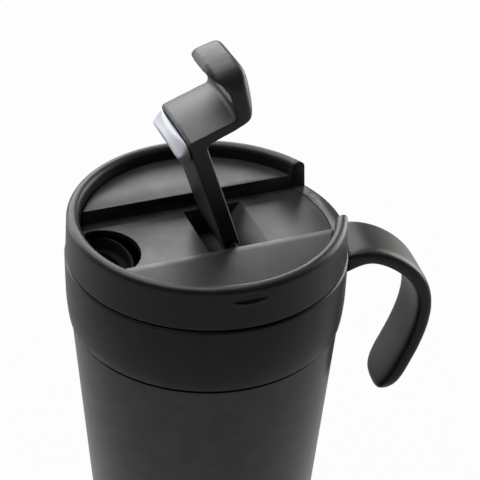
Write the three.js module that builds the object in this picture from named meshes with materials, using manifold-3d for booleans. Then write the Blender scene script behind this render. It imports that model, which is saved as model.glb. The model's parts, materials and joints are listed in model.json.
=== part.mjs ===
// Insulated travel tumbler: a double-walled steel cup with a plastic collar, a hook handle and a
// press-in lid with a flip lever, whose silicone plug closes the drinking hole.
// Millimetres, +Z up. The origin is the centre of the foot; the handle points along +X.
import * as THREE from "three";
import { mergeVertices } from "three/addons/utils/BufferGeometryUtils.js";
import Module from "manifold-3d";

const wasm = await Module();
wasm.setup();

// ---- Driving dimensions -------------------------------------------------------------------------

// Cup
const cupHeight = 150; // foot to the top of the collar
const footRadius = 36; // outer shell, carried down to the table
const ringRadius = 45.2; // lower edge of the lid's ring, which sets the width of the mouth
const shoulderRadius = ringRadius - 1; // outer shell just under the collar
const shellWall = 0.8;
const linerWall = 0.8;
const insulationGap = 3.4; // between shell and liner at the foot
const neckSetback = 1.3; // how far the shell draws in where the collar covers it
const neckShoulder = 0.6; // height of the step there
const drawInLength = 2; // distance below the collar where the wall inside starts to draw in
const linerCorner = 5; // radius at the foot of the liner
const sealBearing = 6; // straight length of the liner below the lid's skirt

// Collar
const collarHeight = 23.3;
const collarRadius = ringRadius + 0.4; // at the widest point of its barrel
const collarWidest = 9.8; // height of that point above the lower edge
const collarEdgeInset = 0.7; // the barrel draws in this much at its lower edge
const collarEdgeBreak = 0.5;
const collarChamfer = 0.5;
const collarStep = 0.35; // how far the collar's upper edge stands out past the lid
const collarBore = ringRadius - 5.4; // opening that the lid's skirt goes into
const collarBoreChamfer = 0.8;
const collarShoulder = 8.6; // depth of that opening, down to the liner's rim
const gasketHeight = 0.9;

// Base
const baseCapHeight = 9; // visible height of the base cap, table to shell edge
const baseSpigotHeight = 5; // the part of the cap inside the shell
const basePadThickness = 2.2;
const basePadRadius = footRadius - 6;
const basePadEdge = 0.5;
const baseFloorThickness = 2;
const baseRelief = 0.6; // between the cap's edge and the table
const baseRound = 1.5;
const spigotWall = 1.6;
const plateThickness = 0.8;
const bottomSpace = 5; // air between base plate and liner

// Handle
const handleWidth = 21;
const handleThickness = 5.4;
const handleRootThickness = 7.2;
const handleFlare = 0.22; // share of the strap's length that thickens into the root
const handleEdgeRound = 1.6;
const handleTipLength = 12; // length of the rounded tip
const handleReach = 28.8; // collar surface to the middle of the strap at its widest
const handleDrop = 58.5; // root to tip
const handleRootHeight = cupHeight - 5.8;
const screwSpread = 11; // distance between the two handle screws
const screwRadius = 1.5;
const screwHeadRadius = 2.6;
const screwHeadDepth = 1.6;
const screwRecess = 1.1;
const screwBite = 7; // length of the shank inside the handle

// Lid ring
const lidTurn = 8; // degrees from the handle to the lid's channel
const seamGap = 0.5; // groove between collar and lid
const ringHeight = 14.6; // collar to the top of the rim
const rimRound = 2; // radius of the rounded rim
const ringDraft = 0.7; // the outer wall leans in this much
const ringEdge = 0.4; // chamfer at the ring's lower edge
const ledgeThickness = 1.8; // the ring's inner ledge that carries the deck
const dimpleHeading = -93.5; // degrees from the channel's handle end
const dimpleHalfLength = 6.4;
const dimpleHalfHeight = 1.6;
const dimpleDepth = 0.9;
const dimpleHeight = 10.6; // collar to the middle of the dimple

// Lid deck
const shelfHeight = 10; // collar to the top of the two shelves
const floorHeight = 5; // collar to the floor of the channel
const shelfEdge = 0.5;
const channelHalfWidth = 17.15;
const deckSkin = 2.2;
const deckSpigot = 3; // depth of the deck's ring inside the skirt
const deckSpigotWall = 1.4;
const pinCover = 1.2; // plastic beyond the ends of the hinge pin
const wellHalfWidth = 14.5; // the pocket that the lever's root turns in
const wellLeft = -3;
const wellRight = 17;
const wellFlat = 10; // length of the level part of the well's bottom
const wellDepth = 10;
const wellWall = 1.5;

// Lid skirt and its seal
const skirtRadius = collarBore - 1.6;
const skirtWall = 1.6;
const skirtFloorWall = 1.8;
const skirtDepth = 17;
const skirtStep = 1; // the wall behind the seal's groove stands in this much
const sealGrooveDepth = 1;
const sealHeight = 3;
const sealLift = 3; // skirt's floor to the seal
const sealReach = 0.9; // gap between skirt and liner that the seal closes
const sealLip = 0.6;
const passageInset = 1.8; // the drinking passage is this much smaller than the hole
const chimneyWall = 1.4;
const seatDepth = 4; // depth of the plug's seat in the passage

// Flip lever, measured from its hinge with the lever shut
const leverOpen = 72.4; // degrees, the angle that the lever is shown at
const hingeOffset = 3.7; // hinge axis to the lid's axis
const leverHalfWidth = 13;
const armThickness = 5.2;
const tipGap = 0.5; // between the lever's round end plate and the rim's wall
const plateWall = 3.6;
const plateHeight = 14; // hinge axis to the lip of the thumb tab
const plateLean = 3.5; // degrees
const plateEdge = 0.8; // chamfer under the end plate
const plateRound = 3; // where the end plate turns over into the tab
const stripEdge = 0.7;
const cornerFillet = 1; // between the arm and the end plate
const tabReach = 15.5; // thumb tab beyond the plate
const tabRise = 21.8; // hinge axis to the top of the tab
const tabCrown = 3.5; // the tab is this much lower along its two sides
const tabSlope = 4; // degrees that its sides rise towards the tip
const tabRound = 13; // length of the tab's rounded tip
const tabFullness = 2.8; // 2 makes the tip a half ellipse, and more makes it squarer
const tabDroop = 4.2; // the tip of the lip hangs this much below its root
const tabEdgeRound = 3.4;
const lipWall = 2.4; // lip round the hollow under the tab
const pinRadius = 1.5;
const pinSeat = 2.4; // length of the pin held in each side of the channel

// Drinking hole and plug
const holeInset = 9.6; // middle of the hole in the deck, from the lever's reach
const holeHalfLength = 7.2; // along the lever
const plugInset = 7.8; // middle of the plug, from the lever's reach
const plugHalfLength = 5.4; // along the lever
const plugHalfWidth = 12.6; // across the lever
const plugCorner = 3; // radius of its two corners at the rim
const plugDrop = 4.2; // at the plug's outer end
const plugHeel = 1.2; // at its other end
const plugToe = 3; // length of the level part at the outer end
const plugRound = 1.6;
const studRadius = 2.2;
const studHeadRadius = 3.3;
const studLength = 1;
const studHeadHeight = 0.6;

// Clearances
const fit = 0.3; // between pieces that seat on each other
const seatGap = 0.2; // between pieces held together by a screw or a seal
const slipGap = 0.15; // round what is pushed into the shell's foot or onto the plug's stud
const runningGap = 0.25; // between the hinge pin and the lever
const plugGap = 0.5; // round the plug in its hole

const roundSegments = 72;
const smallRoundSegments = 24;
const cornerSegments = 5;
const edgeRoundSegments = 4;
const overrun = 1; // how far a cutting shape runs past what it cuts

// ---- Materials ----------------------------------------------------------------------------------

const finish = (color, roughness, metalness) => new THREE.MeshStandardMaterial({ color, roughness, metalness });

const blackPlastic = () => finish(0x1d1d1f, 0.45, 0);
const lacqueredSteel = () => finish(0x2b2c2f, 0.3, 0.7);
const bareSteel = () => finish(0xb9bbbd, 0.35, 1);
const clearSilicone = () => finish(0xd9dbe2, 0.5, 0);
const darkSilicone = () => finish(0x26272a, 0.8, 0);

// ---- Helpers ------------------------------------------------------------------------------------

const point = (x, y) => new THREE.Vector2(x, y);
const radians = THREE.MathUtils.degToRad;

// A closed geometry as a solid that can be joined and cut.
function solid(geometry) {
  const bare = geometry.clone();
  bare.deleteAttribute("normal");
  bare.deleteAttribute("uv");
  const merged = mergeVertices(bare, 1e-4);
  return new wasm.Manifold(
    new wasm.Mesh({
      numProp: 3,
      vertProperties: merged.getAttribute("position").array,
      triVerts: new Uint32Array(merged.index.array),
    }),
  );
}

function geometryOf(made) {
  const { vertProperties, triVerts } = made.getMesh();
  const geometry = new THREE.BufferGeometry();
  geometry.setAttribute("position", new THREE.BufferAttribute(vertProperties, 3));
  geometry.setIndex(new THREE.BufferAttribute(triVerts, 1));
  const flat = geometry.toNonIndexed();
  flat.computeVertexNormals();
  return flat;
}

const piece = (name, made, material) => {
  const mesh = new THREE.Mesh(geometryOf(made), material);
  mesh.name = name;
  return mesh;
};

// A ring or disc turned about Z from its half section of (radius, height) points.
function turned(section, segments = roundSegments) {
  const points = section.map(([radius, height]) => point(radius, height));
  if (THREE.ShapeUtils.isClockWise(points)) points.reverse();
  const onAxis = points.filter((p) => p.x === 0).length > 0;
  if (!onAxis) points.push(points[0].clone());
  const geometry = new THREE.LatheGeometry(onAxis ? startAtAxis(points) : points, segments);
  return solid(geometry.rotateX(Math.PI / 2));
}

// A disc's section has two neighbouring points on the axis, and the outline runs from one to the other.
function startAtAxis(points) {
  const first = points.findIndex((p, i) => p.x === 0 && points.at(i - 1).x === 0);
  return [...points.slice(first), ...points.slice(0, first)];
}

// Points of a round stretch, from one angle to the other in degrees.
function arc(centreX, centreY, radius, from, to, steps) {
  return Array.from({ length: steps + 1 }, (_, i) => {
    const angle = radians(from + ((to - from) * i) / steps);
    return [centreX + radius * Math.cos(angle), centreY + radius * Math.sin(angle)];
  });
}

const shapeOf = (outline) => new THREE.Shape(outline.map(([x, y]) => point(x, y)));

// An outline with both its edges rounded off, from height "bottom" to height "top".
function extruded(shape, bottom, top, edgeRound) {
  const geometry = new THREE.ExtrudeGeometry(shape, {
    depth: top - bottom - 2 * edgeRound,
    bevelEnabled: edgeRound > 0,
    bevelThickness: edgeRound,
    bevelSize: edgeRound,
    bevelOffset: -edgeRound,
    bevelSegments: edgeRoundSegments,
    curveSegments: smallRoundSegments,
  });
  return geometry.translate(0, 0, bottom + edgeRound);
}

// An outline in X and Y, raised along Z.
const raised = (shape, bottom, top, edgeRound = 0) => solid(extruded(shape, bottom, top, edgeRound));

// An outline in X and Z, drawn out along Y to the same distance on both sides.
const drawnOut = (shape, halfWidth, edgeRound = 0) =>
  solid(extruded(shape, -halfWidth, halfWidth, edgeRound).rotateX(Math.PI / 2));

function box(x0, x1, y0, y1, z0, z1) {
  const geometry = new THREE.BoxGeometry(x1 - x0, y1 - y0, z1 - z0);
  return solid(geometry.translate((x0 + x1) / 2, (y0 + y1) / 2, (z0 + z1) / 2));
}

// A round rod along "x", "y" or "z" between two places on that axis.
function rod(along, radius, from, to, centre = [0, 0]) {
  const geometry = new THREE.CylinderGeometry(radius, radius, to - from, smallRoundSegments);
  const middle = (from + to) / 2;
  if (along === "x") geometry.rotateZ(-Math.PI / 2).translate(middle, centre[0], centre[1]);
  if (along === "y") geometry.translate(centre[0], middle, centre[1]);
  if (along === "z") geometry.rotateX(Math.PI / 2).translate(centre[0], centre[1], middle);
  return solid(geometry);
}

// The outline of the drinking hole and its plug: straight towards the rim, with two round corners,
// and half an ellipse towards the hinge.
function spoutShape(centreX, halfLength, grow) {
  const side = plugHalfWidth + grow;
  const corner = Math.max(plugCorner + grow, 0.1 * plugCorner);
  const cornerX = centreX - halfLength - grow + corner;
  const bulge = centreX + halfLength + grow - cornerX;
  return shapeOf([
    ...arc(0, 0, 1, -90, 90, 3 * cornerSegments).map(([x, y]) => [cornerX + bulge * x, side * y]),
    ...arc(cornerX, side - corner, corner, 90, 180, cornerSegments).slice(1),
    ...arc(cornerX, corner - side, corner, 180, 270, cornerSegments).slice(0, -1),
  ]);
}

const joined = (first, ...others) => others.reduce((sum, next) => sum.add(next), first);
const cut = (first, ...others) => others.reduce((rest, next) => rest.subtract(next), first);

// ---- Cup ----------------------------------------------------------------------------------------

const collarBottom = cupHeight - collarHeight;
const shoulderHeight = cupHeight - collarShoulder;
const flangeTop = shoulderHeight - 2 * seatGap - gasketHeight;
const flangeBottom = flangeTop - linerWall;
const neckTop = flangeBottom - seatGap;
const neckRadius = shoulderRadius - neckSetback;

// Radius of the outer shell's cone at a height.
const coneRadius = (height) => footRadius + ((shoulderRadius - footRadius) * height) / collarBottom;

function outerShell() {
  const foot = baseCapHeight;
  const inside = (height) => coneRadius(height) - shellWall;
  return turned([
    [coneRadius(foot), foot],
    [coneRadius(collarBottom), collarBottom - fit - neckShoulder],
    [neckRadius, collarBottom - fit],
    [neckRadius, neckTop],
    [collarBore + seatGap, neckTop],
    [collarBore + seatGap, neckTop - shellWall],
    [neckRadius - shellWall, neckTop - shellWall],
    [neckRadius - shellWall, collarBottom],
    [inside(collarBottom - drawInLength), collarBottom - drawInLength],
    [inside(foot), foot],
  ]);
}

const spigotTop = baseCapHeight + baseSpigotHeight;
const plateBottom = spigotTop + seatGap;
const linerBottom = plateBottom + plateThickness + bottomSpace;

function basePlate() {
  const radius = coneRadius(plateBottom) - shellWall - slipGap;
  return turned([
    [0, plateBottom],
    [radius, plateBottom],
    [radius, plateBottom + plateThickness],
    [0, plateBottom + plateThickness],
  ]);
}

function baseCap() {
  const edge = coneRadius(baseCapHeight);
  const spigot = edge - shellWall - slipGap;
  const padSeat = basePadRadius + fit;
  const padTop = basePadThickness + seatGap;
  return turned([
    [0, padTop],
    [padSeat, padTop],
    [padSeat, baseRelief],
    ...arc(footRadius - baseRound, baseRelief + baseRound, baseRound, -90, 0, edgeRoundSegments),
    [edge, baseCapHeight - fit],
    [spigot, baseCapHeight - fit],
    [spigot, spigotTop],
    [spigot - spigotWall, spigotTop],
    [spigot - spigotWall, padTop + baseFloorThickness],
    [0, padTop + baseFloorThickness],
  ]);
}

function basePad() {
  return turned([
    [0, 0],
    [basePadRadius - basePadEdge, 0],
    [basePadRadius, basePadEdge],
    [basePadRadius, basePadThickness],
    [0, basePadThickness],
  ]);
}

const linerTopRadius = skirtRadius + sealReach; // inside radius where the lid's seal bears

function innerLiner() {
  const bottomRadius = coneRadius(linerBottom) - shellWall - insulationGap;
  const bearingHeight = cupHeight - skirtDepth - sealBearing;
  const corner = (radius, from, to) =>
    arc(bottomRadius - linerCorner, linerBottom + linerCorner, radius, from, to, cornerSegments);
  return turned([
    [0, linerBottom],
    ...corner(linerCorner, -90, -5),
    [linerTopRadius + linerWall, bearingHeight],
    [linerTopRadius + linerWall, flangeBottom],
    [neckRadius, flangeBottom],
    [neckRadius, flangeTop],
    [linerTopRadius, flangeTop],
    [linerTopRadius, bearingHeight],
    ...corner(linerCorner - linerWall, -5, -90),
    [0, linerBottom + linerWall],
  ]);
}

function linerGasket() {
  const bottom = flangeTop + seatGap;
  return turned([
    [collarBore + fit, bottom],
    [neckRadius - seatGap, bottom],
    [neckRadius - seatGap, bottom + gasketHeight],
    [collarBore + fit, bottom + gasketHeight],
  ]);
}

function collar() {
  const top = cupHeight;
  const upperEdge = ringRadius + collarStep;
  const widest = collarBottom + collarWidest;
  const lowerSpan = collarWidest - collarEdgeBreak;
  const upperSpan = collarHeight - collarWidest - collarChamfer;

  // The barrel's two halves swell from its edges to its widest point.
  const barrel = [-1, -2 / 3, -1 / 3, 0, 1 / 3, 2 / 3, 1].map((share) =>
    share < 0
      ? [collarRadius - collarEdgeInset * share ** 2, widest + lowerSpan * share]
      : [collarRadius - (collarRadius - upperEdge) * share ** 2, widest + upperSpan * share],
  );
  const body = turned([
    [collarRadius - collarEdgeInset - collarEdgeBreak, collarBottom],
    ...barrel,
    [upperEdge - collarChamfer, top],
    [collarBore + collarBoreChamfer, top],
    [collarBore, top - collarBoreChamfer],
    [collarBore, shoulderHeight],
    [neckRadius + fit, shoulderHeight],
    [neckRadius + fit, collarBottom],
  ]);
  const headSeat = collarBore + screwHeadDepth + seatGap;
  const holes = screwPlaces.map((y) => {
    const centre = [y, handleRootHeight];
    return joined(
      rod("x", screwRadius + seatGap, collarBore - overrun, collarRadius + overrun, centre),
      rod("x", screwHeadRadius + fit, collarBore - 2 * overrun, headSeat, centre),
    );
  });
  return cut(body, ...holes);
}

// ---- Handle -------------------------------------------------------------------------------------

const screwPlaces = [-screwSpread / 2, screwSpread / 2];

// The strap's middle line in X and Z, from the collar out and down to the free tip.
function handleLine() {
  const root = collarRadius;
  const x = (share) => root + share * handleReach;
  const z = (share) => handleRootHeight - share * handleDrop;
  return new THREE.SplineCurve([
    point(x(-0.06), z(-0.005)),
    point(x(0.27), z(-0.015)),
    point(x(0.62), z(0.065)),
    point(x(0.9), z(0.21)),
    point(x(1), z(0.4)),
    point(x(0.91), z(0.65)),
    point(x(0.62), z(1)),
  ]);
}

function handle() {
  const line = handleLine();
  const steps = 20;
  const half = handleThickness / 2;
  const outer = [];
  const inner = [];
  for (let i = 0; i <= steps; i++) {
    const share = i / steps;
    const middle = line.getPoint(share);
    const along = line.getTangent(share);
    const flare = (handleRootThickness - handleThickness) * Math.max(0, 1 - share / handleFlare) ** 2;
    outer.push([middle.x - along.y * half, middle.y + along.x * half]);
    inner.unshift([middle.x + along.y * (half + flare), middle.y - along.x * (half + flare)]);
  }
  const end = line.getPoint(1);
  const heading = THREE.MathUtils.radToDeg(line.getTangent(1).angle());
  const roundEnd = arc(end.x, end.y, half, heading + 90, heading - 90, 2 * edgeRoundSegments).slice(1, -1);
  const strap = drawnOut(shapeOf([...outer, ...roundEnd, ...inner]), handleWidth / 2, handleEdgeRound);

  // Seen from the side of the cup the tip is round.
  const halfWidth = handleWidth / 2;
  const tip = handleRootHeight - handleDrop - half;
  const front = new THREE.Shape();
  front.moveTo(-halfWidth, handleRootHeight + handleRootThickness);
  front.lineTo(-halfWidth, tip + handleTipLength);
  front.absellipse(0, tip + handleTipLength, halfWidth, handleTipLength, Math.PI, 2 * Math.PI, false);
  front.lineTo(halfWidth, handleRootHeight + handleRootThickness);
  front.closePath();
  const frontGeometry = new THREE.ExtrudeGeometry(front, {
    depth: 3 * handleReach,
    bevelEnabled: false,
    curveSegments: smallRoundSegments,
  });
  frontGeometry.rotateX(Math.PI / 2).rotateZ(Math.PI / 2);
  const frontSolid = solid(frontGeometry.translate(collarRadius - handleReach, 0, 0));

  const collarSurface = turned([
    [0, collarBottom],
    [collarRadius + fit, collarBottom],
    [collarRadius + fit, cupHeight + handleRootThickness],
    [0, cupHeight + handleRootThickness],
  ]);
  const pilots = screwPlaces.map((y) =>
    rod("x", screwRadius + slipGap, collarBore, collarRadius + screwBite + fit, [y, handleRootHeight]),
  );
  return cut(strap.intersect(frontSolid), collarSurface, ...pilots);
}

function handleScrew(y) {
  const seat = collarBore + screwHeadDepth;
  const centre = [y, handleRootHeight];
  const shank = rod("x", screwRadius, seat - seatGap, collarRadius + screwBite, centre);
  const head = rod("x", screwHeadRadius, collarBore + fit, seat, centre);
  const recess = rod("x", screwRadius / 2, collarBore, collarBore + screwRecess, centre);
  return cut(joined(head, shank), recess);
}

// ---- Lid: heights are measured from the top of the collar ----------------------------------------

const rimCentre = ringRadius - ringDraft - rimRound;
const wallInside = rimCentre - rimRound;
const rimHeight = ringHeight - rimRound;
const deckRadius = wallInside - fit;
const deckBottom = seamGap + ledgeThickness + fit;
const ledgeHole = skirtRadius + fit;

function lidRing() {
  const wall = turned([
    [ledgeHole, seamGap],
    [ringRadius - ringEdge, seamGap],
    [ringRadius, seamGap + ringEdge],
    ...arc(rimCentre, rimHeight, rimRound, 0, 180, 2 * cornerSegments),
    [wallInside, seamGap + ledgeThickness],
    [ledgeHole, seamGap + ledgeThickness],
  ]);
  const channelEnd = box(
    0,
    ringRadius + overrun,
    -channelHalfWidth,
    channelHalfWidth,
    floorHeight,
    ringHeight + overrun,
  );
  return cut(wall, channelEnd, dimple());
}

// An almond-shaped dimple in the ring's outer wall.
function dimple() {
  const wallThere = ringRadius - (ringDraft * dimpleHeight) / ringHeight;
  const almond = new THREE.SphereGeometry(1, smallRoundSegments, smallRoundSegments / 2);
  almond.scale(dimpleDepth, dimpleHalfLength, dimpleHalfHeight);
  almond.translate(wallThere, 0, dimpleHeight);
  return solid(almond.rotateZ(radians(dimpleHeading)));
}

const tipRadius = wallInside - tipGap;
const leverReach = hingeOffset + tipRadius; // hinge axis to the middle of the end plate's outer face
const plugCentre = leverReach - plugInset;
const plugX = hingeOffset - plugCentre;
const holeX = plugX + holeInset - plugInset;
const hingeHeight = floorHeight + fit + armThickness / 2;
const pinHalfLength = channelHalfWidth + pinSeat;

// The well's side view: an upright wall on the spout side and a ramp on the handle side.
const wellShape = (grow, top) =>
  shapeOf([
    [wellLeft - grow, top],
    [wellLeft - grow, floorHeight - wellDepth - grow],
    [wellLeft + wellFlat + grow / 2, floorHeight - wellDepth - grow],
    [wellRight + grow, floorHeight - grow / 2],
    [wellRight + grow, top],
  ]);

function lidDeck() {
  const disc = turned([
    [0, deckBottom],
    [deckRadius, deckBottom],
    [deckRadius, shelfHeight - shelfEdge],
    [deckRadius - shelfEdge, shelfHeight],
    [0, shelfHeight],
  ]);
  const reach = ringRadius + overrun;
  const channel = box(-reach, reach, -channelHalfWidth, channelHalfWidth, floorHeight, ringHeight);
  const webY = channelHalfWidth + pinSeat + pinCover;
  const coreRadius = deckRadius - deckSkin;
  const core = turned([
    [0, deckBottom - overrun],
    [coreRadius, deckBottom - overrun],
    [coreRadius, shelfHeight - deckSkin],
    [0, shelfHeight - deckSkin],
  ]);
  const cores = [
    core.intersect(box(-reach, reach, webY, reach, deckBottom - overrun, shelfHeight)),
    core.intersect(box(-reach, reach, -reach, -webY, deckBottom - overrun, shelfHeight)),
  ];
  const spigotOuter = skirtRadius - skirtWall - fit;
  const spigotInner = spigotOuter - deckSpigotWall;
  const spigotBottom = deckBottom - deckSpigot;
  const spigotTop = (deckBottom + floorHeight) / 2;
  const spigot = turned([
    [spigotInner, spigotBottom],
    [spigotOuter, spigotBottom],
    [spigotOuter, spigotTop],
    [spigotInner, spigotTop],
  ]);
  const gapSide = plugHalfWidth + 2 * deckSpigotWall;
  const spigotGap = box(-reach, holeX + holeHalfLength, -gapSide, gapSide, spigotBottom - overrun, deckBottom);
  const well = drawnOut(wellShape(wellWall, floorHeight), wellHalfWidth + wellWall);
  const holeShape = spoutShape(holeX, holeHalfLength, plugGap);
  const hole = raised(holeShape, spigotBottom - overrun, floorHeight + overrun);
  const pinEnd = pinHalfLength + seatGap;
  const pinBore = rod("y", pinRadius + slipGap, -pinEnd, pinEnd, [hingeOffset, hingeHeight]);
  return cut(
    joined(cut(disc, channel, ...cores), cut(spigot, spigotGap), well),
    drawnOut(wellShape(0, floorHeight + overrun), wellHalfWidth),
    hole,
    pinBore,
  );
}

const skirtTop = deckBottom - fit;
const mouthRadius = skirtRadius - skirtWall / 2; // how far the mouth of the passage may reach from the axis
const skirtFloor = -skirtDepth;
const sealBottom = skirtFloor + sealLift;
const sealGroove = skirtRadius - sealGrooveDepth;

function lidSkirt() {
  const inner = skirtRadius - skirtWall;
  const grooveBottom = sealBottom - seatGap;
  const grooveTop = sealBottom + sealHeight + seatGap;
  const cup = turned([
    [0, skirtFloor],
    [skirtRadius - skirtStep, skirtFloor],
    [skirtRadius, skirtFloor + skirtStep],
    [skirtRadius, grooveBottom],
    [sealGroove, grooveBottom],
    [sealGroove, grooveTop],
    [skirtRadius, grooveTop],
    [skirtRadius, skirtTop],
    [inner, skirtTop],
    [inner, grooveTop + 1.5 * skirtStep],
    [inner - skirtStep, grooveTop + skirtStep / 2],
    [inner - skirtStep, skirtFloor + skirtFloorWall],
    [0, skirtFloor + skirtFloorWall],
  ]);

  // The drinking passage runs down through the lid's air space as a chimney.
  const within = (radius) =>
    turned([
      [0, 2 * skirtFloor],
      [radius, 2 * skirtFloor],
      [radius, skirtTop - skirtFloor],
      [0, skirtTop - skirtFloor],
    ]);
  const seatBottom = skirtTop - seatDepth;
  const wallMiddle = skirtRadius - skirtWall / 2;
  const section = (grow) => spoutShape(plugX, plugHalfLength, grow);
  const chimney = raised(section(chimneyWall), skirtFloor + skirtFloorWall / 2, skirtTop);
  const passage = raised(section(-passageInset), skirtFloor - overrun, seatBottom + overrun);
  const mouth = raised(section(plugGap), seatBottom, skirtTop + overrun);
  return cut(
    joined(cup, chimney.intersect(within(wallMiddle))),
    passage.intersect(within(inner - skirtStep - fit)),
    mouth.intersect(within(mouthRadius)),
  );
}

function lidSeal() {
  const inner = sealGroove + seatGap;
  const outer = linerTopRadius - seatGap;
  const middle = sealBottom + sealHeight / 2;
  return turned([
    [inner, sealBottom],
    [outer - sealLip, sealBottom],
    [outer, middle - sealLip],
    [outer, middle + sealLip],
    [outer - sealLip, sealBottom + sealHeight],
    [inner, sealBottom + sealHeight],
  ]);
}

function hingePin() {
  return rod("y", pinRadius, -pinHalfLength, pinHalfLength);
}

// ---- Flip lever, shut: the arm runs towards -X from the hinge at the origin -----------------------

const armHalf = armThickness / 2;

const tabTip = leverReach + tabReach;

// A solid turned about the lid's axis, placed where that axis runs when the lever is shut.
const aboutLidAxis = (section) => turned(section).translate([-hingeOffset, 0, 0]);

// Arm and end plate: one bent strip, trimmed to the round of the rim's wall.
function leverStrip() {
  const plateTop = plateHeight + stripEdge + overrun;
  const lean = Math.tan(radians(plateLean));
  const reach = leverReach + 2 * overrun;
  const back = (up) => plateCorner + up * lean - plateWall;
  const outline = shapeOf([
    ...arc(0, 0, armHalf, 90, -90, 2 * edgeRoundSegments),
    [-reach, -armHalf],
    [-reach, plateTop],
    ...arc(-(back(plateTop) + plateRound), plateTop - plateRound, plateRound, 90, 0, edgeRoundSegments),
    [-back(armHalf + cornerFillet), armHalf + cornerFillet],
    [-(back(armHalf) - cornerFillet), armHalf],
  ]);
  const bound = aboutLidAxis([
    [0, -armHalf - overrun],
    [tipRadius - plateEdge - overrun, -armHalf - overrun],
    [tipRadius, plateEdge - armHalf],
    [tipRadius + plateTop * lean, plateTop + overrun],
    [0, plateTop + overrun],
  ]);
  return drawnOut(outline, leverHalfWidth, stripEdge).intersect(bound);
}

// Where the end plate's outer face meets the lever's two sides.
const plateCorner = hingeOffset + Math.sqrt(tipRadius ** 2 - leverHalfWidth ** 2);

// Plan of the thumb tab, "inset" smaller all round: straight sides and a rounded tip.
function tabPlan(inset) {
  const half = leverHalfWidth - inset;
  const round = tabRound - inset;
  const root = plateWall - plateCorner - cornerFillet;
  const fuller = (share) => Math.sign(share) * Math.abs(share) ** (2 / tabFullness);
  const tip = arc(0, 0, 1, 90, 270, 4 * edgeRoundSegments).map(([x, y]) => [
    inset + round * (fuller(x) + 1) - tabTip,
    half * fuller(y),
  ]);
  return shapeOf([[root, half], ...tip, [root, -half]]);
}

// Side view of the thumb tab: a dome on top, and a lip below that droops towards the tip.
function tabSide() {
  const root = plateCorner - plateWall;
  const place = ([share, up]) => point(-(root + (tabTip - root) * share), up);
  const beyond = 1.1;
  const lip = new THREE.SplineCurve(
    [
      [0.58, plateHeight],
      [0.76, plateHeight - 0.3 * tabDroop],
      [0.9, plateHeight - tabDroop],
      [beyond, plateHeight - tabDroop],
    ].map(place),
  );
  const dome = new THREE.SplineCurve(
    [
      [beyond, tabRise - 6],
      [0.97, tabRise - 2.4],
      [0.76, tabRise - 0.6],
      [0.5, tabRise],
      [0.27, tabRise - 0.9],
      [0.1, tabRise - 3.6],
      [0, tabRise - 7.4],
    ].map(place),
  );
  return new THREE.Shape([
    place([0, plateHeight - overrun]),
    place([0.3, plateHeight]),
    ...lip.getPoints(6),
    ...dome.getPoints(20),
  ]);
}

// The tab's arched top, "drop" lower than its outer face, rising a little towards the tip.
function tabRoof(drop) {
  const archRadius = (leverHalfWidth ** 2 + tabCrown ** 2) / (2 * tabCrown);
  const halfAngle = THREE.MathUtils.radToDeg(Math.asin(leverHalfWidth / archRadius));
  const side = leverHalfWidth + overrun;
  const eaves = tabRise - tabCrown - overrun - drop;
  const arch = shapeOf([
    [-side, -armHalf],
    [side, -armHalf],
    [side, eaves],
    ...arc(0, tabRise - archRadius - drop, archRadius, 90 - halfAngle, 90 + halfAngle, 14),
    [-side, eaves],
  ]);
  const geometry = new THREE.ExtrudeGeometry(arch, { depth: 2 * tabTip, bevelEnabled: false });
  geometry.rotateX(Math.PI / 2).rotateZ(Math.PI / 2);
  geometry.translate(plateCorner - 2 * tabTip, 0, 0).rotateY(radians(tabSlope));
  return solid(geometry.translate(-plateCorner, 0, 0));
}

function thumbTab() {
  const block = raised(tabPlan(0), plateHeight - tabDroop, tabRise + overrun, tabEdgeRound);
  const body = block.intersect(drawnOut(tabSide(), leverHalfWidth + overrun)).intersect(tabRoof(0));
  const hollowEnd = box(-tabTip, -(leverReach + plateWall), -leverHalfWidth, leverHalfWidth, 0, tabRise);
  const hollow = raised(tabPlan(lipWall), 0, tabRise).intersect(tabRoof(2 * lipWall)).intersect(hollowEnd);
  return body.subtract(hollow);
}

const studEnd = -armHalf - studLength;

function flipLever() {
  const holeEnd = leverHalfWidth + overrun;
  const pinHole = rod("y", pinRadius + runningGap, -holeEnd, holeEnd);
  const stud = rod("z", studRadius, studEnd, 0, [-plugCentre, 0]);
  const studHead = rod("z", studHeadRadius, studEnd - studHeadHeight, studEnd, [-plugCentre, 0]);
  return joined(cut(leverStrip(), pinHole), thumbTab(), stud, studHead);
}

function drinkPlug() {
  const top = -armHalf - seatGap;
  const bottom = top - plugDrop;
  const body = raised(spoutShape(-plugCentre, plugHalfLength, 0), bottom, top + plugRound, plugRound);

  // Its lower part goes into the passage, and its upper part reaches as far as the end plate.
  const mouth = mouthRadius - plugGap;
  const widest = tipRadius - plateEdge;
  const bound = aboutLidAxis([
    [0, bottom],
    [mouth - stripEdge, bottom],
    [mouth, top - (floorHeight - skirtTop)],
    [widest, top],
    [0, top],
  ]);

  // The underside slopes, deepest at the outer end.
  const outerEnd = -(plugCentre + plugHalfLength);
  const innerEnd = plugHalfLength - plugCentre + overrun;
  const slope = shapeOf([
    [outerEnd + plugToe, bottom - slipGap],
    [innerEnd, top - plugHeel],
    [innerEnd, bottom - slipGap],
  ]);
  const socketTop = studEnd + slipGap;
  const socketBottom = studEnd - studHeadHeight - seatGap;
  const socket = joined(
    rod("z", studRadius + slipGap, studEnd, 0, [-plugCentre, 0]),
    rod("z", studHeadRadius + slipGap, socketBottom, socketTop, [-plugCentre, 0]),
  );
  return cut(body.intersect(bound), drawnOut(slope, plugHalfWidth + overrun), socket);
}

// ---- Assembly -----------------------------------------------------------------------------------

const tumbler = new THREE.Group();

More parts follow.
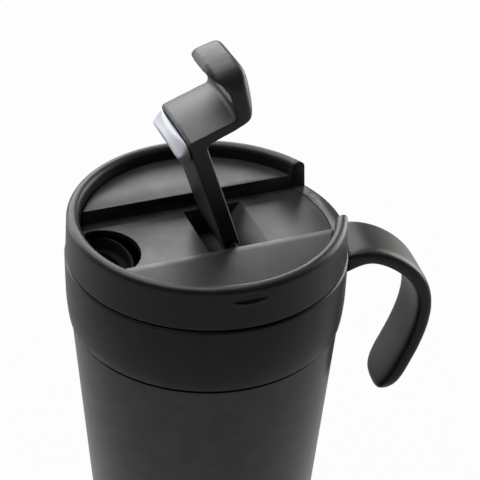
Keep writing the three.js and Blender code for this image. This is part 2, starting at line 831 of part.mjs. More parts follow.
const cup = new THREE.Group();
cup.add(
  piece("outer_shell", outerShell(), lacqueredSteel()),
  piece("shell_base_plate", basePlate(), bareSteel()),
  piece("inner_liner", innerLiner(), bareSteel()),
  piece("liner_gasket", linerGasket(), darkSilicone()),
  piece("collar", collar(), blackPlastic()),
  piece("handle", handle(), blackPlastic()),
  piece("base_cap", baseCap(), blackPlastic()),
  piece("base_pad", basePad(), darkSilicone()),
);
screwPlaces.forEach((y, i) => cup.add(piece(`handle_screw_${i + 1}`, handleScrew(y), bareSteel())));
tumbler.add(cup);

const lid = new THREE.Group();
lid.position.z = cupHeight;
lid.rotation.z = radians(lidTurn);
lid.add(
  piece("lid_ring", lidRing(), blackPlastic()),
  piece("lid_deck", lidDeck(), blackPlastic()),
  piece("lid_skirt", lidSkirt(), blackPlastic()),
  piece("lid_seal", lidSeal(), darkSilicone()),
);
tumbler.add(lid);

const hinge = new THREE.Group();
hinge.position.set(hingeOffset, 0, hingeHeight);
hinge.add(piece("hinge_pin", hingePin(), bareSteel()));
lid.add(hinge);

const lever = new THREE.Group();
lever.rotation.y = radians(leverOpen);
lever.add(piece("flip_lever", flipLever(), blackPlastic()), piece("drink_plug", drinkPlug(), clearSilicone()));
hinge.add(lever);

export default tumbler;
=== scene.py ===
"""An insulated travel tumbler with a press-in lid and a flip lever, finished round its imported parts.

Metres, +Z up, the handle along +X. Each piece is modelled at its place and rides on the body that
carries it: the cup, the lid or the lever.
"""

import json
import math

import bpy
from mathutils import Matrix, Vector


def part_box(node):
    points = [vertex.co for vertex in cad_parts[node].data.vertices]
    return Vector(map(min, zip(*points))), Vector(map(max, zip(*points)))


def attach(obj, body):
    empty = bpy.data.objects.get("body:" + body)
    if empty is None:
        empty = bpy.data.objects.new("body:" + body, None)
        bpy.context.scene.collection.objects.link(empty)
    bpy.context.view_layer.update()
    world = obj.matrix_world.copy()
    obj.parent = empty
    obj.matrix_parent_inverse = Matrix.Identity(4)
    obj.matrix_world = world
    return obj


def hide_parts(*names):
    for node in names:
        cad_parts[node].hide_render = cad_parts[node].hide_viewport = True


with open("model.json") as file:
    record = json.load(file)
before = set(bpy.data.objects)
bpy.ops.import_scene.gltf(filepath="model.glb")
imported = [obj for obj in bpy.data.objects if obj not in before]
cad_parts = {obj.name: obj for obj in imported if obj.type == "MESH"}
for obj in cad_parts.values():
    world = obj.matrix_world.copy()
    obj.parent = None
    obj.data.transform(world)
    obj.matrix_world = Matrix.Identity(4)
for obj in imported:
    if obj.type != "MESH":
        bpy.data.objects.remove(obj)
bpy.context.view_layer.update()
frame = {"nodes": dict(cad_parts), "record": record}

# ---- Sizes ---------------------------------------------------------------------------------------

MM = 0.001
EDGE_ANGLE = math.radians(32)  # edges sharper than this are broken with a small round
EDGE_SEGMENTS = 2  # faces across a broken edge
MODELLED_GAP = 0.002 * MM  # points of a modelled piece that lie nearer than this are one point
COPIED_GAP = 0.004 * MM  # the same in a copy of a part
FLAT_ANGLE = math.radians(0.6)  # a copy's faces that turn less than this are merged
SMOOTHING_STEP = 0.5  # share of the way to its neighbours' middle that a pass moves a point

# Lid ring, with the sizes that its part has
ROUND_STEPS = 180  # facets round the ring
RIM_ROUND = 2 * MM
RIM_STEPS = 14  # rows of faces over the rolled rim
RING_DRAFT = 0.7 * MM  # the wall leans in this much
RING_EDGE = 0.4 * MM  # small round at the wall's foot and behind the ledge
RING_EDGE_STEPS = 4
RING_BREAK = 0.15 * MM  # round on the edges that the cuts leave
FOOT_INSET = 3 * RING_EDGE  # a narrow row of faces runs under the wall from here
LEDGE_THICKNESS = 1.8 * MM
LEDGE_HOLE = 38.5 * MM
CHANNEL_HALF_WIDTH = 17.15 * MM
CHANNEL_FLOOR_RISE = 4.5 * MM  # channel's floor above the ring's foot
WALL_ROWS = 12  # rows of faces up the wall
DIMPLE_HEADING = math.radians(-93.5)  # from the channel
DIMPLE_LIFT = 10.1 * MM  # middle of the dimple above the ring's foot
DIMPLE_HALF_SIZES = (0.9 * MM, 6.4 * MM, 1.6 * MM)  # depth, length and height
DIMPLE_SEGMENTS = 48
DIMPLE_ROWS = 24

# Soft mouldings: size of the new faces, passes of smoothing all over, and where more are made
HANDLE_FACE = 0.45 * MM
HANDLE_PASSES = 8
GRIP_PASSES = 130
GRIP_START = 46.5 * MM  # from the middle of the cup, outside the root
GRIP_FULL = 54 * MM
LEVER_FACE = 0.36 * MM
LEVER_PASSES = 6
TAB_PASSES = 120
TAB_START = 12.5 * MM  # above the hinge with the lever shut
TAB_FULL = 16 * MM
END_PLATE_PASSES = 200
END_PLATE_START = 0.972  # how squarely a face looks out: 1 is straight away from the axis
END_PLATE_FULL = 0.985
PLUG_FACE = 0.25 * MM
PLUG_PASSES = 36

# ---- Places read from the parts ------------------------------------------------------------------

lever_joint = next(j for j in frame["record"]["behaviour"]["joints"] if j["name"] == "lever_flip")
hinge_point = Vector(lever_joint["pos_m"])
hinge_axis = Vector(lever_joint["axis"]).normalized()
lid_turn = math.atan2(-hinge_axis.x, hinge_axis.y)
shut_angle = math.radians(lever_joint["range_deg"][0])

# Carries the lever's own frame, in which it lies shut along -X, to its place.
lever_place = (
    Matrix.Translation(hinge_point)
    @ Matrix.Rotation(lid_turn, 4, "Z")
    @ Matrix.Rotation(-shut_angle, 4, "Y")
)

# ---- Modelling helpers ---------------------------------------------------------------------------


def deselect():
    """Goes to object mode with nothing selected."""
    if bpy.context.object and bpy.context.object.mode != "OBJECT":
        bpy.ops.object.mode_set(mode="OBJECT")
    bpy.ops.object.select_all(action="DESELECT")


def pick(piece):
    """Makes one piece the selected and active one."""
    deselect()
    piece.select_set(True)
    bpy.context.view_layer.objects.active = piece


def apply_modifier(piece, kind, **settings):
    """Adds a modifier, sets it up and applies it."""
    pick(piece)
    bpy.ops.object.modifier_add(type=kind)
    modifier = piece.modifiers[-1]
    for name, value in settings.items():
        setattr(modifier, name, value)
    bpy.ops.object.modifier_apply(modifier=modifier.name)


def settle(piece):
    """Puts a piece's place into its mesh, with its faces pointing outwards."""
    pick(piece)
    bpy.ops.object.transform_apply(location=True, rotation=True, scale=True)
    bpy.ops.object.mode_set(mode="EDIT")
    bpy.ops.mesh.select_all(action="SELECT")
    bpy.ops.mesh.remove_doubles(threshold=MODELLED_GAP)
    bpy.ops.mesh.normals_make_consistent(inside=False)
    bpy.ops.object.mode_set(mode="OBJECT")
    return piece


def smooth(piece):
    """Shades a piece smooth, apart from its sharp edges."""
    pick(piece)
    bpy.ops.object.shade_smooth_by_angle(angle=EDGE_ANGLE)
    return piece


def break_edges(piece, width):
    """Rounds every sharp edge of a moulded or turned piece a little."""
    apply_modifier(
        piece,
        "BEVEL",
        width=width,
        segments=EDGE_SEGMENTS,
        limit_method="ANGLE",
        angle_limit=EDGE_ANGLE,
        use_clamp_overlap=True,
        harden_normals=False,
    )
    return piece


def round_body(name, section):
    """A body of revolution: a ring extruded from point to point along its (radius, height) section."""
    deselect()
    radius, height = section[0]
    bpy.ops.mesh.primitive_circle_add(vertices=ROUND_STEPS, radius=radius, location=(0, 0, height))
    piece = bpy.context.active_object
    piece.name = name
    bpy.ops.object.mode_set(mode="EDIT")
    bpy.ops.mesh.select_mode(type="EDGE")
    bpy.ops.mesh.select_all(action="SELECT")
    for next_radius, next_height in section[1:]:
        bpy.ops.mesh.extrude_region_move(
            TRANSFORM_OT_translate={"value": (0, 0, next_height - height)}
        )
        scale = next_radius / radius
        bpy.ops.transform.resize(value=(scale, scale, 1), center_override=(0, 0, next_height))
        radius, height = next_radius, next_height
    return settle(piece)


def arc(centre, radius, first, last, steps):
    """Points of a round stretch of a section, from one angle to the other in degrees."""
    angles = [math.radians(first + (last - first) * i / steps) for i in range(steps + 1)]
    return [(centre[0] + radius * math.cos(a), centre[1] + radius * math.sin(a)) for a in angles]


def mesh_copy(name, node):
    """A piece with the same shape as a CAD node, its loose triangles merged."""
    pick(frame["nodes"][node])
    bpy.ops.object.duplicate()
    piece = bpy.context.active_object
    piece.name = name
    piece.parent = None
    piece.matrix_world = Matrix.Identity(4)
    piece.data.materials.clear()
    bpy.ops.object.mode_set(mode="EDIT")
    bpy.ops.mesh.select_all(action="SELECT")
    bpy.ops.mesh.remove_doubles(threshold=COPIED_GAP)
    bpy.ops.mesh.dissolve_limited(angle_limit=FLAT_ANGLE)
    bpy.ops.object.mode_set(mode="OBJECT")
    return piece


def moulded_copy(name, node, face_size, passes, place=None):
    """A copy of a CAD node with soft, moulded edges, remeshed in the frame where it lies square."""
    piece = mesh_copy(name, node)
    if place:
        piece.data.transform(place.inverted())
    apply_modifier(piece, "REMESH", mode="VOXEL", voxel_size=face_size, adaptivity=0)
    apply_modifier(piece, "SMOOTH", factor=SMOOTHING_STEP, iterations=passes)
    if place:
        piece.data.transform(place)
    pick(piece)
    bpy.ops.object.shade_smooth()
    return piece


def cut_away(piece, cutter):
    """Cuts one mesh out of another and takes the cutter away."""
    apply_modifier(piece, "BOOLEAN", operation="DIFFERENCE", solver="EXACT", object=cutter)
    bpy.data.objects.remove(cutter, do_unlink=True)


def ramp(value, low, high):
    """0 below one value, 1 above the other and even between them."""
    return min(1.0, max(0.0, (value - low) / (high - low)))


def soften(piece, passes, share_at):
    """Smooths a moulding by the share that a function gives for each point and its normal."""
    group = piece.vertex_groups.new(name="softened")
    for vertex in piece.data.vertices:
        share = share_at(vertex.co, vertex.normal)
        if share > 0:
            group.add([vertex.index], share, "REPLACE")
    apply_modifier(
        piece, "SMOOTH", factor=SMOOTHING_STEP, iterations=passes, vertex_group=group.name
    )
    piece.vertex_groups.clear()


def fit(piece, body, material, node):
    """Gives a finished piece its material and slot, and lets it ride in place of its CAD node."""
    piece.data.materials.clear()
    piece.data.materials.append(material)
    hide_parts(node)
    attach(piece, body)
    return piece


# ---- Material effects ----------------------------------------------------------------------------

NOISE_ROUGHNESS = 0.55
CLOUD_RANGE = (0.3, 0.7)  # stretch of the noise that slow clouds and mottles use

PLASTIC_GRAIN = 3200.0  # scales are repeats of a pattern in a metre
PLASTIC_MOTTLE = 60.0
PLASTIC_GRAIN_DEPTH = 0.012 * MM
COARSE_PITS = 0.28  # scale of the coarse pits, as a share of the fine ones
FINE_PIT_HEIGHT = 0.7  # as a share of the coarse ones

EDGE_RANGE = (0.505, 0.56)  # pointiness where an edge starts to rub and where it is rubbed
PATCH_SCALE = 130.0
PATCH_RANGE = (0.42, 0.62)
SCUFF_SCALES = (240.0, 950.0, 420.0)
SCUFF_TURN = (0.3, 0.5, 0.8)
SCUFF_RANGE = (0.66, 0.8)

STEEL_LINES = 5200.0
STREAK_SCALE = 45.0


def new_group(name, inputs, outputs):
    """A shader node group with named float inputs and outputs."""
    group = bpy.data.node_groups.new(name, "ShaderNodeTree")
    for label, value in inputs.items():
        socket = group.interface.new_socket(label, in_out="INPUT", socket_type="NodeSocketFloat")
        socket.default_value = value
    for label in outputs:
        group.interface.new_socket(label, in_out="OUTPUT", socket_type="NodeSocketFloat")
    start = group.nodes.new("NodeGroupInput")
    end = group.nodes.new("NodeGroupOutput")
    return group, start, end


def add(tree, kind, links=None, values=None):
    """Adds a node, links other nodes' outputs to its inputs and sets plain values on the rest."""
    node = tree.nodes.new(kind)
    for socket, value in (values or {}).items():
        node.inputs[socket].default_value = value
    for socket, source in (links or {}).items():
        tree.links.new(source, node.inputs[socket])
    return node


def feed(tree, socket, source):
    """Gives an input a number, or links it to another node's output."""
    if isinstance(source, (int, float)):
        socket.default_value = source
    else:
        tree.links.new(source, socket)


def noise(tree, place, scale, detail=3.0):
    """Soft noise in space. Its scale is a number or another node's output."""
    values = {"Detail": detail, "Roughness": NOISE_ROUGHNESS}
    node = add(tree, "ShaderNodeTexNoise", {"Vector": place}, values)
    feed(tree, node.inputs["Scale"], scale)
    return node.outputs["Fac"]


def maths(tree, operation, *terms):
    """A sum on numbers and other nodes' outputs."""
    node = tree.nodes.new("ShaderNodeMath")
    node.operation = operation
    for socket, term in zip(node.inputs, terms):
        feed(tree, socket, term)
    return node.outputs[0]


def spread(tree, source, low, high, to_low=0.0, to_high=1.0):
    """Stretches a value from one range to another, held at both ends."""
    values = {"From Min": low, "From Max": high, "To Min": to_low, "To Max": to_high}
    return add(tree, "ShaderNodeMapRange", {"Value": source}, values).outputs["Result"]


def object_place(tree):
    """Where a point lies on its piece."""
    return add(tree, "ShaderNodeTexCoord").outputs["Object"]


def make_grain_group():
    """Spark-eroded mould grain: fine pits over a slow mottle."""
    inputs = {"Grain Scale": PLASTIC_GRAIN, "Mottle Scale": PLASTIC_MOTTLE}
    group, start, end = new_group("mould_grain", inputs, ["Height", "Mottle"])
    place = object_place(group)
    fine = noise(group, place, start.outputs["Grain Scale"], detail=2.0)
    coarse_scale = maths(group, "MULTIPLY", start.outputs["Grain Scale"], COARSE_PITS)
    coarse = noise(group, place, coarse_scale, detail=1.0)
    height = maths(group, "MULTIPLY_ADD", fine, FINE_PIT_HEIGHT, coarse)
    group.links.new(height, end.inputs["Height"])
    mottle = noise(group, place, start.outputs["Mottle Scale"], detail=4.0)
    group.links.new(spread(group, mottle, *CLOUD_RANGE), end.inputs["Mottle"])
    return group


def make_wear_group():
    """Handling wear: raised edges rubbed in patches, and faint scuffs on open faces."""
    inputs = {"Edge Amount": 1.0, "Scuff Amount": 1.0}
    group, start, end = new_group("handling_wear", inputs, ["Edge", "Scuff"])
    place = object_place(group)
    raised = add(group, "ShaderNodeNewGeometry").outputs["Pointiness"]
    edge = spread(group, raised, *EDGE_RANGE)
    patches = spread(group, noise(group, place, PATCH_SCALE, detail=5.0), *PATCH_RANGE)
    worn = maths(group, "MULTIPLY", edge, patches)
    worn = maths(group, "MULTIPLY", worn, start.outputs["Edge Amount"])
    group.links.new(worn, end.inputs["Edge"])
    values = {"Scale": SCUFF_SCALES, "Rotation": SCUFF_TURN}
    stretched = add(group, "ShaderNodeMapping", {"Vector": place}, values).outputs["Vector"]
    scuff = spread(group, noise(group, stretched, 1.0), *SCUFF_RANGE)
    scuff = maths(group, "MULTIPLY", scuff, start.outputs["Scuff Amount"])
    group.links.new(scuff, end.inputs["Scuff"])
    return group


def make_turned_group():
    """Fine turning lines round the axis, as on spun and brushed steel."""
    group, start, end = new_group("turning_lines", {"Line Scale": STEEL_LINES}, ["Height", "Streak"])
    place = object_place(group)
    height = add(group, "ShaderNodeSeparateXYZ", {"Vector": place}).outputs["Z"]
    along = maths(group, "MULTIPLY", height, start.outputs["Line Scale"])
    lines = add(group, "ShaderNodeTexNoise", values={"Scale": 1.0, "Detail": 3.0})
    lines.noise_dimensions = "1D"
    group.links.new(along, lines.inputs["W"])
    group.links.new(lines.outputs["Fac"], end.inputs["Height"])
    slow = noise(group, place, STREAK_SCALE)
    group.links.new(spread(group, slow, *CLOUD_RANGE), end.inputs["Streak"])
    return group


grain_group = make_grain_group()
wear_group = make_wear_group()
turned_group = make_turned_group()

# ---- Materials -----------------------------------------------------------------------------------

# The Mix node's colour sockets, which share their names with those for numbers.
MIX_FIRST_COLOUR = 6
MIX_SECOND_COLOUR = 7
MIX_COLOUR_RESULT = 2


def start_material(name, metallic=0.0, **shader_values):
    """A material with its Principled shader set up with plain values."""
    material = bpy.data.materials.new(name)
    material.use_nodes = True
    tree = material.node_tree
    shader = next(n for n in tree.nodes if n.type == "BSDF_PRINCIPLED")
    shader.inputs["Metallic"].default_value = metallic
    for socket, value in shader_values.items():
        shader.inputs[socket.replace("_", " ")].default_value = value
    return material, tree, shader


def use_group(tree, group, **values):
    """Places a shared effect in a material, with its own values, and gives its outputs."""
    node = tree.nodes.new("ShaderNodeGroup")
    node.node_tree = group
    for socket, value in values.items():
        node.inputs[socket.replace("_", " ")].default_value = value
    return node.outputs


def blend_colour(tree, mask, first, second):
    """One colour where the mask is 0 and the other where it is 1. Either may come from a node."""
    node = tree.nodes.new("ShaderNodeMix")
    node.data_type = "RGBA"
    tree.links.new(mask, node.inputs["Factor"])
    for socket, colour in ((MIX_FIRST_COLOUR, first), (MIX_SECOND_COLOUR, second)):
        if isinstance(colour, tuple):
            node.inputs[socket].default_value = (*colour, 1.0)
        else:
            tree.links.new(colour, node.inputs[socket])
    return node.outputs[MIX_COLOUR_RESULT]


def bump(tree, shader, height, depth):
    """Raises a shader's surface by a height, which counts for this depth in metres."""
    values = {"Strength": 1.0, "Distance": depth}
    node = add(tree, "ShaderNodeBump", {"Height": height}, values)
    tree.links.new(node.outputs["Normal"], shader.inputs["Normal"])


def moulded_plastic(name, colour, worn_colour, roughness, wear=1.0, **shader_values):
    """Grained moulded plastic, a little paler and glossier where hands rub it."""
    scuffs = 0.35 * wear
    mottle_lift = 1.12
    smoothest = roughness - 0.02
    roughest = roughness + 0.03
    polish = -0.08
    material, tree, shader = start_material(name, **shader_values)
    grain = use_group(tree, grain_group, Grain_Scale=PLASTIC_GRAIN)
    worn = use_group(tree, wear_group, Edge_Amount=wear, Scuff_Amount=scuffs)
    paler = tuple(part * mottle_lift for part in colour)
    mottled = blend_colour(tree, grain["Mottle"], colour, paler)
    rubbed = maths(tree, "MAXIMUM", worn["Edge"], worn["Scuff"])
    tree.links.new(blend_colour(tree, rubbed, mottled, worn_colour), shader.inputs["Base Color"])
    rough = spread(tree, grain["Mottle"], 0.0, 1.0, smoothest, roughest)
    polished = maths(tree, "MULTIPLY_ADD", rubbed, polish, rough)
    tree.links.new(polished, shader.inputs["Roughness"])
    bump(tree, shader, grain["Height"], PLASTIC_GRAIN_DEPTH)
    return material


def lacquer_over_steel(name, colour, fleck_colour, roughness):
    """Satin lacquer with a fine metal fleck, over turned steel."""
    fleck_scale = 9000.0
    fleck_range = (0.6, 0.75)
    smoothest = roughness - 0.015
    roughest = roughness + 0.02
    line_depth = 0.004 * MM
    material, tree, shader = start_material(
        name, metallic=0.3, Coat_Weight=0.25, Coat_Roughness=0.25
    )
    grain = use_group(tree, grain_group, Grain_Scale=5200.0, Mottle_Scale=22.0)
    turned = use_group(tree, turned_group, Line_Scale=3600.0)
    worn = use_group(tree, wear_group, Edge_Amount=0.8, Scuff_Amount=0.25)
    fleck = noise(tree, object_place(tree), fleck_scale, detail=1.0)
    fleck = spread(tree, fleck, *fleck_range)
    flecked = blend_colour(tree, fleck, colour, fleck_colour)
    rubbed = maths(tree, "MAXIMUM", worn["Edge"], worn["Scuff"])
    tree.links.new(blend_colour(tree, rubbed, flecked, fleck_colour), shader.inputs["Base Color"])
    rough = spread(tree, grain["Mottle"], 0.0, 1.0, smoothest, roughest)
    tree.links.new(rough, shader.inputs["Roughness"])
    bump(tree, shader, turned["Height"], line_depth)
    return material


def bare_steel(name, colour, roughness):
    """Spun stainless steel with turning lines and faint cloudy stains."""
    stain = 0.82
    smoothest = roughness - 0.06
    roughest = roughness + 0.1
    line_depth = 0.006 * MM
    material, tree, shader = start_material(name, metallic=1.0)
    turned = use_group(tree, turned_group, Line_Scale=STEEL_LINES)
    darker = tuple(part * stain for part in colour)
    tree.links.new(blend_colour(tree, turned["Streak"], darker, colour), shader.inputs["Base Color"])
    rough = spread(tree, turned["Height"], *CLOUD_RANGE, smoothest, roughest)
    tree.links.new(rough, shader.inputs["Roughness"])
    bump(tree, shader, turned["Height"], line_depth)
    return material


def silicone(name, colour, deep_colour, roughness, **shader_values):
    """Soft silicone with a slightly cloudy body and a matt moulded skin."""
    smoothest = roughness - 0.05
    roughest = roughness + 0.08
    skin_depth = 0.01 * MM
    material, tree, shader = start_material(name, **shader_values)
    grain = use_group(tree, grain_group, Grain_Scale=1500.0, Mottle_Scale=90.0)
    clouded = blend_colour(tree, grain["Mottle"], colour, deep_colour)
    tree.links.new(clouded, shader.inputs["Base Color"])
    rough = spread(tree, grain["Mottle"], 0.0, 1.0, smoothest, roughest)
    tree.links.new(rough, shader.inputs["Roughness"])
    bump(tree, shader, grain["Height"], skin_depth)
    return material


lid_plastic = moulded_plastic(
    "lid_black_plastic",
    colour=(0.0125, 0.0125, 0.0135),
    worn_colour=(0.04, 0.04, 0.042),
    roughness=0.4,
    Specular_IOR_Level=0.32,
)
collar_plastic = moulded_plastic(
    "collar_black_plastic",
    colour=(0.011, 0.011, 0.012),
    worn_colour=(0.035, 0.035, 0.037),
    roughness=0.38,
    Specular_IOR_Level=0.28,
)
lever_plastic = moulded_plastic(
    "lever_black_plastic",
    colour=(0.022, 0.023, 0.025),
    worn_colour=(0.06, 0.06, 0.064),
    roughness=0.46,
)
handle_plastic = moulded_plastic(
    "handle_black_plastic",
    colour=(0.012, 0.012, 0.013),
    worn_colour=(0.04, 0.04, 0.042),
    roughness=0.4,
    Specular_IOR_Level=0.32,
)
base_plastic = moulded_plastic(
    "base_black_plastic",
    colour=(0.02, 0.02, 0.021),
    worn_colour=(0.09, 0.09, 0.09),
    roughness=0.5,
)
# The skirt is the lid's black plastic made darker than the lid's own: painted shade for the dark hole
# it is seen through.
skirt_plastic_painted_shade = moulded_plastic(
    "skirt_black_plastic_painted_shade",
    colour=(0.006, 0.006, 0.0065),
    worn_colour=(0.012, 0.012, 0.012),
    roughness=0.85,
    wear=0.5,
    Specular_IOR_Level=0.1,
)
shell_lacquer = lacquer_over_steel(
    "charcoal_lacquer",
    colour=(0.03, 0.031, 0.032),
    fleck_colour=(0.06, 0.061, 0.063),
    roughness=0.34,
)
liner_steel = bare_steel("spun_steel", colour=(0.62, 0.62, 0.63), roughness=0.26)
screw_steel = bare_steel("screw_steel", colour=(0.55, 0.55, 0.56), roughness=0.34)
black_steel = bare_steel("black_oxide_steel", colour=(0.035, 0.035, 0.038), roughness=0.42)
milky_silicone = silicone(
    "milky_silicone",
    colour=(0.5, 0.51, 0.56),
    deep_colour=(0.43, 0.44, 0.49),
    roughness=0.36,
    Subsurface_Weight=0.15,
    Subsurface_Scale=0.003,
)
dark_silicone = silicone(
    "dark_silicone",
    colour=(0.03, 0.031, 0.034),
    deep_colour=(0.045, 0.046, 0.05),
    roughness=0.62,
)

# ---- Pieces that keep the shape of their parts ---------------------------------------------------


def finish_part(node, body, material, edge):
    """A CAD part that keeps its shape, with its edges broken."""
    piece = mesh_copy(node + "_finished", node)
    break_edges(piece, edge)
    smooth(piece)
    fit(piece, body, material, node)


for node, body, slot, material, edge in (
    ("outer_shell", "cup", "lacquer", shell_lacquer, 0.2 * MM),
    ("inner_liner", "cup", "steel", liner_steel, 0.2 * MM),
    ("collar", "cup", "black_plastic", collar_plastic, 0.25 * MM),
    ("base_cap", "cup", "black_plastic", base_plastic, 0.3 * MM),
    ("base_pad", "cup", "dark_silicone", dark_silicone, 0.2 * MM),
    ("lid_deck", "lid", "black_plastic", lid_plastic, 0.12 * MM),
    # the skirt's darker plastic is painted shade inside the lid's hole
    ("lid_skirt", "lid", "black_plastic", skirt_plastic_painted_shade, 0.2 * MM),
    ("lid_seal", "lid", "dark_silicone", dark_silicone, 0.2 * MM),
):
    finish_part(node, body, material, edge)

# ---- Lid ring ------------------------------------------------------------------------------------


def ring_section(radius, foot, top):
    """The ring's closed section: a ledge, the leaning wall and a rolled rim."""
    wall_foot = foot + RING_EDGE
    rim_height = top - RIM_ROUND
    rim_centre = radius - RING_DRAFT - RIM_ROUND
    wall_inside = rim_centre - RIM_ROUND
    ledge_top = foot + LEDGE_THICKNESS
    shares = [i / WALL_ROWS for i in range(1, WALL_ROWS)]
    wall = [
        (radius - RING_DRAFT * share, wall_foot + (rim_height - wall_foot) * share)
        for share in shares
    ]
    behind_ledge = (wall_inside - RING_EDGE, ledge_top + RING_EDGE)
    return [
        (LEDGE_HOLE, foot),
        (radius - FOOT_INSET, foot),
        *arc((radius - RING_EDGE, wall_foot), RING_EDGE, -90, 0, RING_EDGE_STEPS),
        *wall,
        *arc((rim_centre, rim_height), RIM_ROUND, 0, 180, RIM_STEPS),
        *arc(behind_ledge, RING_EDGE, 0, -90, RING_EDGE_STEPS),
        (LEDGE_HOLE, ledge_top),
        (LEDGE_HOLE, foot),
    ]


def cut_channel_mouth(ring, radius, channel_floor):
    """Cuts the wall down to the channel's floor where the channel leaves the lid."""
    deselect()
    location = (radius, 0, channel_floor + radius / 2)
    bpy.ops.mesh.primitive_cube_add(size=1, location=location)
    bpy.ops.transform.resize(value=(radius, 2 * CHANNEL_HALF_WIDTH, radius))
    mouth = settle(bpy.context.active_object)
    mouth.data.transform(Matrix.Rotation(lid_turn, 4, "Z"))
    cut_away(ring, mouth)


def press_dimple(ring, wall_radius, height):
    """Presses the small finger mark into the wall."""
    deselect()
    bpy.ops.mesh.primitive_uv_sphere_add(
        segments=DIMPLE_SEGMENTS,
        ring_count=DIMPLE_ROWS,
        radius=1,
        location=(wall_radius, 0, height),
    )
    bpy.ops.transform.resize(value=DIMPLE_HALF_SIZES)
    dimple = settle(bpy.context.active_object)
    dimple.data.transform(Matrix.Rotation(lid_turn + DIMPLE_HEADING, 4, "Z"))
    cut_away(ring, dimple)


def model_lid_ring():
    """The lid's outer ring: a leaning wall with a rolled rim, cut down where the channel leaves it."""
    low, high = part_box("lid_ring")
    radius = (high[1] - low[1]) / 2
    foot = low[2]
    top = high[2]
    ring = round_body("lid_ring_turned", ring_section(radius, foot, top))
    cut_channel_mouth(ring, radius, foot + CHANNEL_FLOOR_RISE)
    dimple_radius = radius - RING_DRAFT * DIMPLE_LIFT / (top - foot)
    press_dimple(ring, dimple_radius, foot + DIMPLE_LIFT)
    break_edges(ring, RING_BREAK)
    return smooth(ring)


fit(model_lid_ring(), "lid", lid_plastic, "lid_ring")

# ---- Handle, lever and plug ----------------------------------------------------------------------

to_lever_frame = lever_place.inverted()
hinge_offset = hinge_point.to_2d().length


def grip_share(point, normal):
    """All of the handle but its root on the collar."""
    return ramp(point.x, GRIP_START, GRIP_FULL)


def thumb_tab_share(point, normal):
    """All of the thumb tab, fading out where it joins the end plate."""
    return ramp((to_lever_frame @ point).z, TAB_START, TAB_FULL)


def end_plate_share(point, normal):
    """The end plate's outer face, which is round about the lid's axis, without its edges."""
    place = to_lever_frame @ point
    facing = to_lever_frame.to_3x3() @ normal
    outwards = Vector((place.x + hinge_offset, place.y, 0)).normalized()
    return ramp(facing.dot(outwards), END_PLATE_START, END_PLATE_FULL)


handle = moulded_copy("handle_strap", "handle", HANDLE_FACE, HANDLE_PASSES)
soften(handle, GRIP_PASSES, grip_share)
fit(handle, "cup", handle_plastic, "handle")

lever = moulded_copy("flip_lever_moulding", "flip_lever", LEVER_FACE, LEVER_PASSES, lever_place)
soften(lever, TAB_PASSES, thumb_tab_share)
soften(lever, END_PLATE_PASSES, end_plate_share)
fit(lever, "lever", lever_plastic, "flip_lever")

plug = moulded_copy("drinking_plug", "drink_plug", PLUG_FACE, PLUG_PASSES, lever_place)
fit(plug, "lever", milky_silicone, "drink_plug")

# ---- Fittings that stay as they are --------------------------------------------------------------

for node, material in (
    ("shell_base_plate", liner_steel),
    ("liner_gasket", dark_silicone),
    ("handle_screw_1", screw_steel),
    ("handle_screw_2", screw_steel),
    ("hinge_pin", black_steel),
):
    part = frame["nodes"][node]
    if not part.material_slots:
        part.data.materials.append(material)
    for material_slot in part.material_slots:
        material_slot.material = material

# ---- Floor, light and camera ---------------------------------------------------------------------

FLOOR_RADIUS = 3.0
FLOOR_STEPS = 64
FLOOR_COLOUR = (0.2, 0.2, 0.2, 1.0)
WHITE = (1.0, 1.0, 1.0, 1.0)
WHITE_SHARE = 0.97  # the rest of the floor is its lit surface, which keeps the shadow
MIRRORED_WHITE = 0.42  # share of the white that reflections show
ROOM_GLOW = 0.04  # strength of the world on the object
LAMP_AIM = (0.0, 0.0, 0.14)

FOCAL_LENGTH = 101.87  # millimetres, as is the sensor's width
SENSOR_WIDTH = 36.0
NEAR_CLIP = 0.01
CAMERA_HEADING = math.radians(-22.5)  # from the channel
CAMERA_ELEVATION = math.radians(33.9)
CAMERA_ROLL = math.radians(2.14)
CAMERA_DISTANCE = 0.437
CAMERA_SHIFT_RIGHT = 0.01061  # of the camera from straight in front of its target
CAMERA_SHIFT_UP = 0.00245
CAMERA_TARGET = Vector((0, 0, 0.150))


def studio_white(tree, surface, output):
    """Shows plain white to the camera and in reflections, over the lit surface."""
    path = add(tree, "ShaderNodeLightPath").outputs
    white = add(tree, "ShaderNodeEmission", values={"Color": WHITE})
    straight = maths(tree, "MAXIMUM", path["Is Camera Ray"], path["Is Transmission Ray"])
    mirrored = maths(tree, "MULTIPLY", path["Is Glossy Ray"], MIRRORED_WHITE)
    share = maths(tree, "MULTIPLY", maths(tree, "MAXIMUM", straight, mirrored), WHITE_SHARE)
    mix = add(tree, "ShaderNodeMixShader", {0: share, 1: surface, 2: white.outputs[0]})
    tree.links.new(mix.outputs[0], output.inputs["Surface"])


def lay_floor():
    """A pale round floor under the cup."""
    deselect()
    bpy.ops.mesh.primitive_circle_add(vertices=FLOOR_STEPS, radius=FLOOR_RADIUS, fill_type="NGON")
    floor = bpy.context.active_object
    floor.name = "studio_floor"
    material = bpy.data.materials.new("pale_floor")
    material.use_nodes = True
    tree = material.node_tree
    tree.nodes.clear()
    surface = add(tree, "ShaderNodeBsdfDiffuse", values={"Color": FLOOR_COLOUR})
    output = add(tree, "ShaderNodeOutputMaterial")
    studio_white(tree, surface.outputs[0], output)
    floor.data.materials.append(material)


def light_room():
    """A world that is white to look at and glows only faintly on the object."""
    world = bpy.data.worlds.new("studio")
    bpy.context.scene.world = world
    world.use_nodes = True
    tree = world.node_tree
    tree.nodes.clear()
    path = add(tree, "ShaderNodeLightPath").outputs
    seen = maths(tree, "MAXIMUM", path["Is Camera Ray"], path["Is Transmission Ray"])
    glow = spread(tree, seen, 0.0, 1.0, ROOM_GLOW, 1.0)
    sky = add(tree, "ShaderNodeBackground", {"Strength": glow})
    output = add(tree, "ShaderNodeOutputWorld")
    tree.links.new(sky.outputs[0], output.inputs["Surface"])


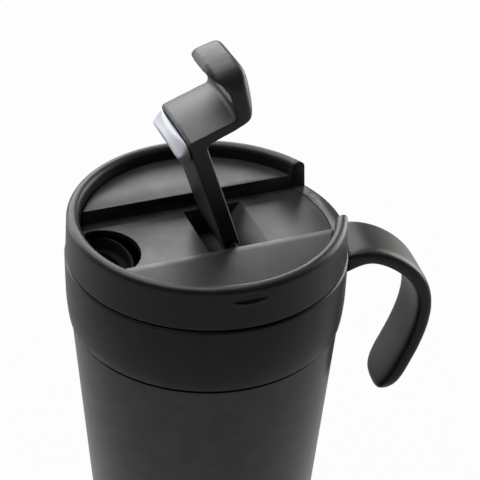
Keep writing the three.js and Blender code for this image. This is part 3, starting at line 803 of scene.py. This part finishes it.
def hang_lamp(name, place, size, power, colour=(1.0, 1.0, 1.0)):
    """A rectangular lamp that looks at the cup."""
    lamp = bpy.data.lights.new(name, "AREA")
    lamp.shape = "RECTANGLE"
    lamp.size, lamp.size_y = size
    lamp.energy = power
    lamp.color = colour
    holder = bpy.data.objects.new(name, lamp)
    bpy.context.scene.collection.objects.link(holder)
    holder.location = place
    holder.rotation_euler = (Vector(LAMP_AIM) - Vector(place)).to_track_quat("-Z", "Y").to_euler()


def hang_lamps():
    """Two softboxes above and behind the cup, and a strip lamp on each side."""
    hang_lamp("overhead_softbox", place=(-0.15, 0.2, 0.95), size=(0.8, 0.7), power=8.0)
    hang_lamp("back_softbox", place=(-0.1, 0.95, 0.62), size=(1.1, 0.6), power=12.0)
    hang_lamp(
        "left_strip",
        place=(-0.55, 0.6, 0.2),
        size=(0.2, 0.8),
        power=2.9,
        colour=(0.95, 0.97, 1.0),
    )
    hang_lamp(
        "right_strip",
        place=(0.7, 0.3, 0.2),
        size=(0.45, 0.8),
        power=7.0,
        colour=(1.0, 0.99, 0.93),
    )


def place_camera():
    """A long lens that looks down on the lid, a little to one side of the channel."""
    lens = bpy.data.cameras.new("camera")
    lens.lens = FOCAL_LENGTH
    lens.sensor_width = SENSOR_WIDTH
    lens.clip_start = NEAR_CLIP
    holder = bpy.data.objects.new("camera", lens)
    bpy.context.scene.collection.objects.link(holder)
    heading = Matrix.Rotation(CAMERA_HEADING + lid_turn, 4, "Z")
    tilt = Matrix.Rotation(math.pi / 2 - CAMERA_ELEVATION, 4, "X")
    turn = heading @ tilt
    right, up, back = (turn.col[i].to_3d() for i in range(3))
    place = CAMERA_TARGET + right * CAMERA_SHIFT_RIGHT + up * CAMERA_SHIFT_UP
    place += back * CAMERA_DISTANCE
    holder.matrix_world = Matrix.Translation(place) @ turn @ Matrix.Rotation(CAMERA_ROLL, 4, "Z")
    bpy.context.scene.camera = holder


lay_floor()
light_room()
hang_lamps()
place_camera()
bpy.context.scene.view_settings.view_transform = "Standard"
